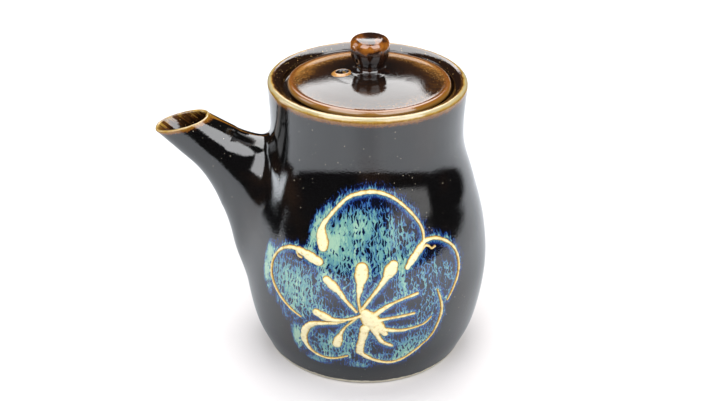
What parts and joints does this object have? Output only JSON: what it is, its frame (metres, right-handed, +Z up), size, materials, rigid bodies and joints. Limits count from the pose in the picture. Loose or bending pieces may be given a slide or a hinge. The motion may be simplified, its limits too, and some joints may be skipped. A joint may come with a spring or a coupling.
{
  "type": "lidded sake pourer",
  "caption": "Small round-bellied stoneware pourer with a horn-shaped side spout, a seated lid with a knob, dark glaze and a raised blossom drawing.",
  "frame": {"origin": "centre of the flat foot that the pot stands on", "axes": "+Z up along the pot's turning axis; the spout points along -X; the blossom faces -Y"},
  "size_m": [0.1042, 0.0792, 0.1045],
  "materials": {
    "black_glaze": "gloss",
    "lid_glaze": "gloss",
    "knob_glaze": "gloss",
    "cream_slip": "gloss"
  },
  "bodies": {
    "pot": {"pot_body": "black_glaze", "spout": "black_glaze", "slip_petal_top": "cream_slip", "slip_petal_right": "cream_slip", "slip_petal_left": "cream_slip", "slip_petal_lower_left": "cream_slip", "slip_petal_lower_right": "cream_slip", "slip_petal_right_inner": "cream_slip", "slip_heart": "cream_slip", "slip_stem": "cream_slip", "slip_stamen_top": "cream_slip", "slip_stamen_upper_left": "cream_slip", "slip_stamen_upper_right": "cream_slip", "slip_stamen_left": "cream_slip", "slip_stamen_lower_left": "cream_slip", "slip_stamen_right_1": "cream_slip", "slip_stamen_right_2": "cream_slip", "slip_stamen_right_3": "cream_slip", "slip_stamen_right_4": "cream_slip"},
    "lid": {"lid": "lid_glaze", "knob": "knob_glaze"}
  },
  "joints": [
    {"name": "lid_lift", "type": "slide", "parent": "pot", "child": "lid", "axis": [0, 0, 1], "range_m": [0, 0.04]}
  ]
}
